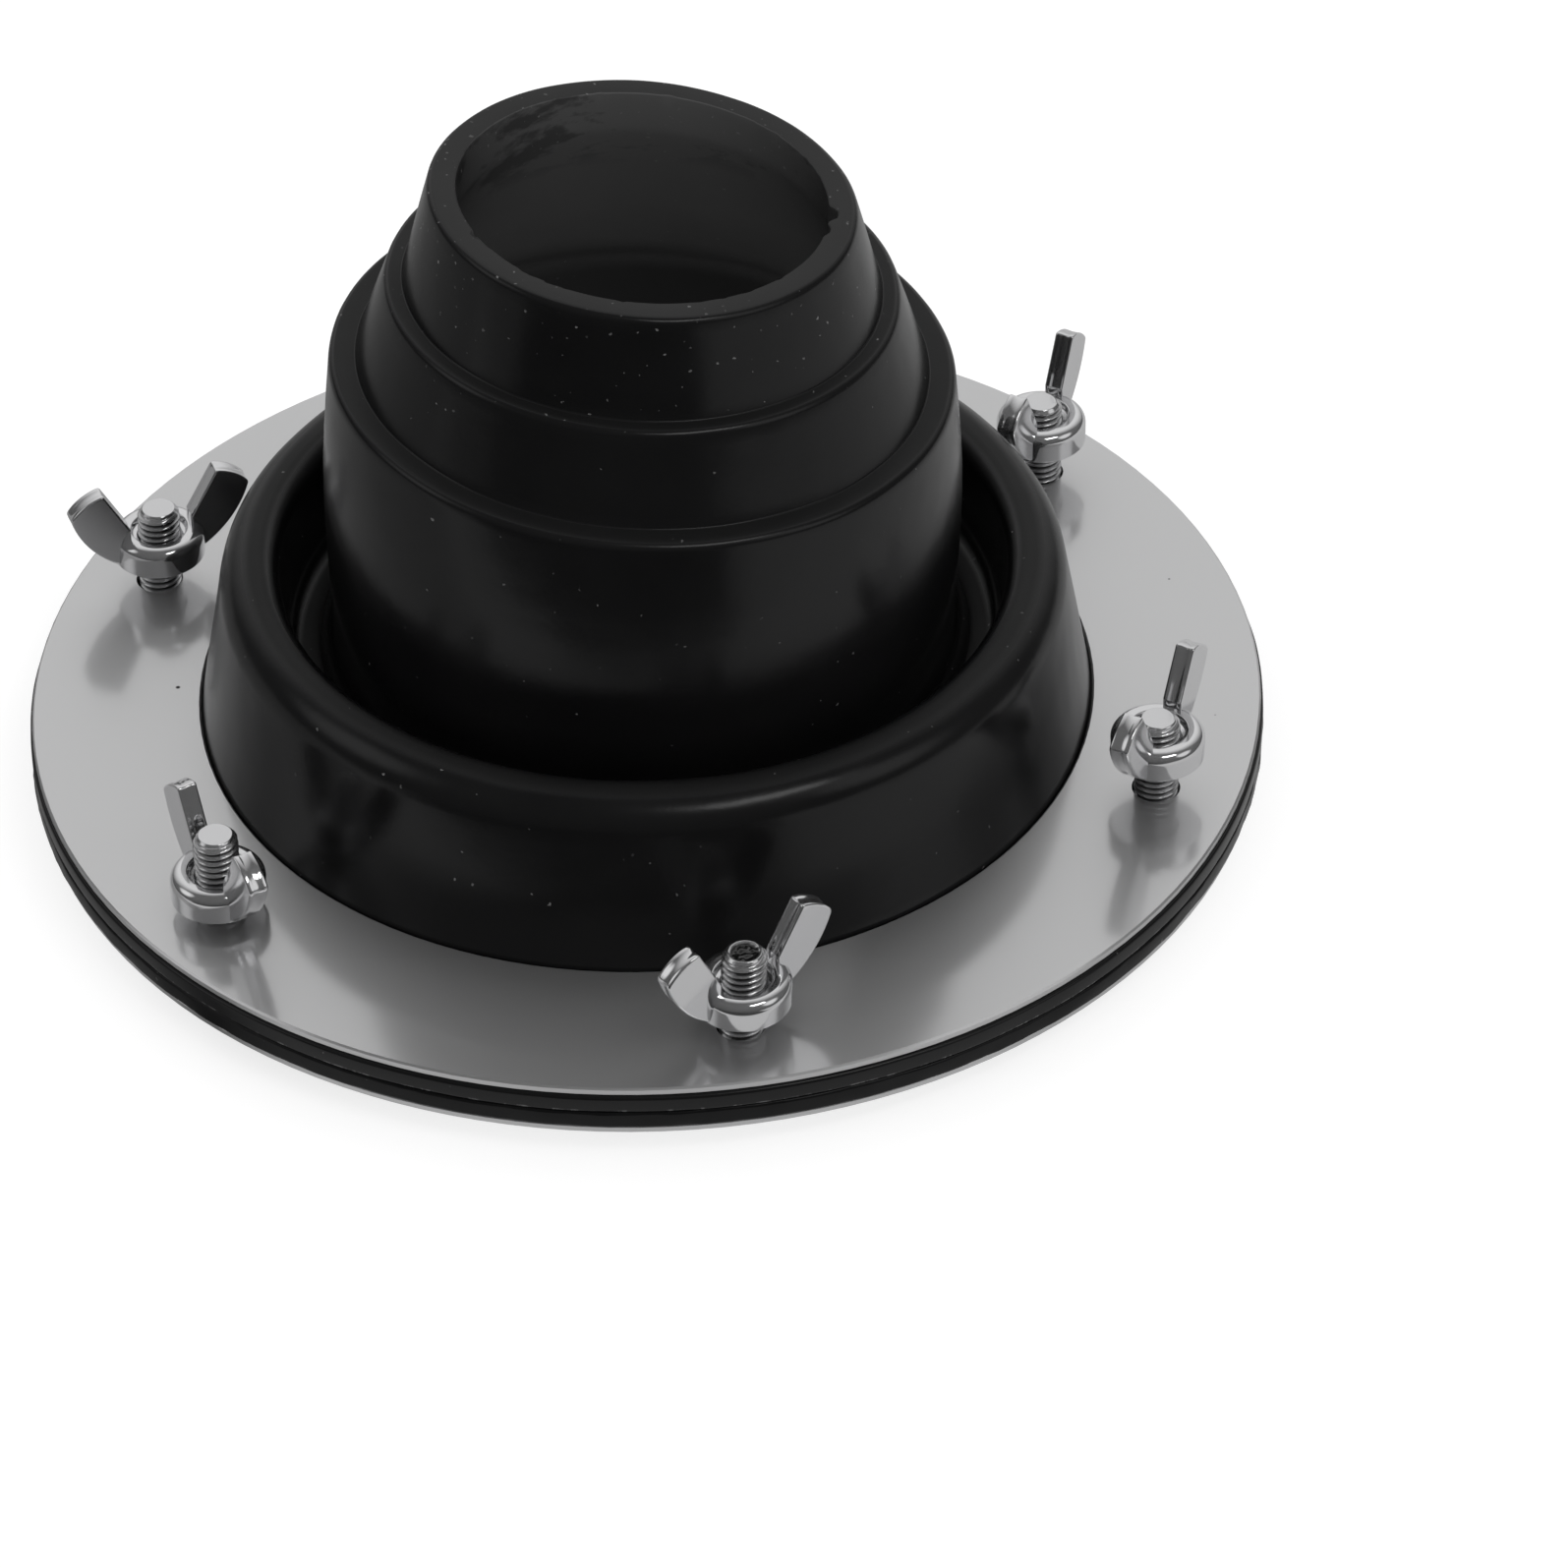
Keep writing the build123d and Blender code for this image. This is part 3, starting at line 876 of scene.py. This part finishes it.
def steel_material(name, color, rough_low, rough_high, scale, haze, grooved=False, pits=()):
    """Plated steel, faintly cloudy; haze is the share of a second, rougher sheen."""
    material, tree, shader = new_material(name)
    coords = tree.nodes.new("ShaderNodeTexCoord").outputs["Object"]
    cloud = add_noise(tree, coords, scale)
    tone = mixed_color(tree, tuple(c * CLOUD_SHADE for c in color), color, cloud)
    rough = ramp(tree, cloud, 0.3, 0.7, rough_low, rough_high)
    if grooved:
        # Painted shade: the steel is darker deep in the thread's grooves and the hollow tip
        groove = tree.nodes.new("ShaderNodeAttribute")
        groove.attribute_name = "groove"
        depth = ramp(tree, groove.outputs["Fac"], 0.3, 0.9, 0.0, 1.0)
        tone = mixed_color(tree, tone, GROOVE_SHADE_COLOR, depth)
    for x, y, radius, share in pits:
        place = (x * MM, y * MM, DECK * MM)
        away = vector_node(tree, "DISTANCE", coords, place)["Value"]
        dark = ramp(tree, away, 0.5 * radius * MM, radius * MM, share, 0.0)
        tone = mixed_color(tree, tone, PIT_COLOR, dark)
    normal = faint_bump(tree, cloud)
    hazy = tree.nodes.new("ShaderNodeBsdfPrincipled")
    for sheen, metallic, rougher in ((shader, 1.0, 0.0), (hazy, HAZE_METALLIC, HAZE_ROUGHER)):
        sheen.inputs["Metallic"].default_value = metallic
        tree.links.new(tone, sheen.inputs["Base Color"])
        tree.links.new(math_node(tree, "ADD", rough, rougher), sheen.inputs["Roughness"])
        tree.links.new(normal, sheen.inputs["Normal"])
    blend = tree.nodes.new("ShaderNodeMixShader")
    blend.inputs["Fac"].default_value = haze
    tree.links.new(shader.outputs["BSDF"], blend.inputs[1])
    tree.links.new(hazy.outputs["BSDF"], blend.inputs[2])
    tree.links.new(blend.outputs["Shader"], tree.nodes["Material Output"].inputs["Surface"])
    return material


def put_material(obj, material):
    obj.data.materials.clear()
    obj.data.materials.append(material)


# Stage, light and camera

def make_stage():
    """A floor that is white to the camera and a dim card with lighter parts to the object."""
    bpy.ops.mesh.primitive_plane_add(size=FLOOR_SIZE)
    floor = bpy.context.object
    floor.name = "floor"
    material, tree, shader = new_material("floor_pale")
    place = separated(tree, tree.nodes.new("ShaderNodeTexCoord").outputs["Object"])
    x, y = place["X"], place["Y"]
    side = math_node(tree, "MAXIMUM", x, product(tree, x, -0.35))
    reach = math_node(tree, "MULTIPLY_ADD", y, 0.55, side)
    level = ramp(tree, x, -CARD_HALF_WIDTH, CARD_HALF_WIDTH, *CARD_LEVELS)
    card = product(tree, ramp(tree, reach, -0.015, 0.0, CARD_SHADE, 1.0), level)
    strip = product(
        tree,
        ramp(tree, y, *STRIP_NEAR_EDGE, 0.0, 1.0),
        ramp(tree, y, *STRIP_FAR_EDGE, 0.0, 1.0),
        STRIP_LEVEL,
    )
    card = math_node(tree, "MAXIMUM", card, strip)
    camera_ray = tree.nodes.new("ShaderNodeLightPath").outputs["Is Camera Ray"]
    base, glow = WHITE_FLOOR
    base = seen_by(tree, camera_ray, base, product(tree, card, CARD_BASE_SHARE))
    tree.links.new(base, shader.inputs["Base Color"])
    tree.links.new(seen_by(tree, camera_ray, glow, card), shader.inputs["Emission Strength"])
    shader.inputs["Emission Color"].default_value = (1, 1, 1, 1)
    shader.inputs["Roughness"].default_value = 0.9
    put_material(floor, material)


def make_world():
    """Even light for colours, panels in a dim studio for reflections, white to the camera."""
    world = bpy.data.worlds.new("studio")
    bpy.context.scene.world = world
    world.use_nodes = True
    tree = world.node_tree
    coords = tree.nodes.new("ShaderNodeTexCoord").outputs["Generated"]
    total = ramp(tree, separated(tree, coords)["Z"], -0.2, 0.5, *STUDIO_DIM)
    for toward, inner, outer, strength in STUDIO_PANELS:
        middle = tuple(Vector(toward).normalized())
        facing = vector_node(tree, "DOT_PRODUCT", coords, middle)["Value"]
        near, far = math.cos(math.radians(inner)), math.cos(math.radians(outer))
        panel = ramp(tree, facing, far, near, 0.0, strength)
        total = math_node(tree, "ADD", total, panel)
    path = tree.nodes.new("ShaderNodeLightPath")
    total = seen_by(tree, path.outputs["Is Diffuse Ray"], DIFFUSE_LIGHT, total)
    total = seen_by(tree, path.outputs["Is Camera Ray"], 1.0, total)
    back = tree.nodes["Background"]
    tree.links.new(total, back.inputs["Strength"])
    back.inputs["Color"].default_value = (1, 1, 1, 1)
    # Sampled as a light, the world would look the same to every kind of ray
    world.cycles.sampling_method = "NONE"


def area_light(name, place, size, power):
    """A rectangular light that faces the part's middle."""
    light = bpy.data.lights.new(name, "AREA")
    light.shape = "RECTANGLE"
    light.size, light.size_y = size
    light.energy = power
    obj = bpy.data.objects.new(name, light)
    bpy.context.scene.collection.objects.link(obj)
    obj.location = place
    obj.rotation_mode = "QUATERNION"
    obj.rotation_quaternion = (Vector(LIGHT_AIM) - Vector(place)).to_track_quat("-Z", "Y")


def make_camera():
    """The photograph's camera, from its distance, elevation, roll and centre pixel."""
    elevation = math.radians(CAMERA_ELEVATION)
    roll = math.radians(CAMERA_ROLL)
    back = Vector((0, -math.cos(elevation), math.sin(elevation)))
    right = Vector((1, 0, 0))
    level = Matrix((right, back.cross(right), back))
    rolled = Matrix.Rotation(-roll, 3, "Z") @ level
    half = PHOTO_SIZE / 2
    off_x = (CENTER_PIXEL[0] - half) / FOCAL_PIXELS
    off_y = (half - CENTER_PIXEL[1]) / FOCAL_PIXELS
    aim = Vector((off_x, off_y, -1))
    swing = Vector((0, 0, -1)).rotation_difference(aim.normalized()).to_matrix()
    world = (swing @ rolled).transposed().to_4x4()
    world.translation = back * CAMERA_DISTANCE * MM + Vector((0, 0, DECK * MM))
    camera = bpy.data.objects.new("camera", bpy.data.cameras.new("camera"))
    bpy.context.scene.collection.objects.link(camera)
    camera.matrix_world = world
    camera.data.sensor_width = SENSOR_WIDTH
    camera.data.lens = FOCAL_PIXELS * SENSOR_WIDTH / PHOTO_SIZE
    camera.data.clip_start = 0.05
    camera.data.clip_end = 20
    bpy.context.scene.camera = camera


boot_rubber = rubber_material(
    "boot_rubber", (0.0050, 0.0050, 0.0052), (0.0066, 0.0066, 0.0068), 0.32, with_dust_and_painted_light=True
)
gasket_rubber = rubber_material(
    "gasket_rubber", (0.0045, 0.0045, 0.0047), (0.0065, 0.0065, 0.0067), 0.2
)
ring_steel = steel_material(
    "ring_steel", (0.74, 0.74, 0.745), 0.12, 0.16, 25, 0.55, pits=RING_PITS
)
bolt_steel = steel_material(
    "bolt_steel", (0.78, 0.78, 0.79), 0.10, 0.20, 300, 0.15, grooved=True
)
nut_steel = steel_material("nut_steel", (0.84, 0.84, 0.85), 0.05, 0.12, 200, 0.10)

put_material(make_boot(), boot_rubber)
put_material(make_gasket(), gasket_rubber)
for i, (bolt_x, bolt_y, bolt_angle) in enumerate(bolt_places()):
    put_material(make_bolt(i + 1, bolt_x, bolt_y, bolt_angle), bolt_steel)
    put_material(make_wing_nut(i + 1, bolt_x, bolt_y, NUT_LIFTS[i], NUT_TURNS[i]), nut_steel)
for name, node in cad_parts.items():
    if name.endswith("clamp_ring"):
        put_material(node, ring_steel)

make_stage()
make_world()
make_camera()
area_light("front", (0.4, -0.5, 1.0), (0.5, 0.2), 1.3)
bpy.context.scene.view_settings.view_transform = "Standard"
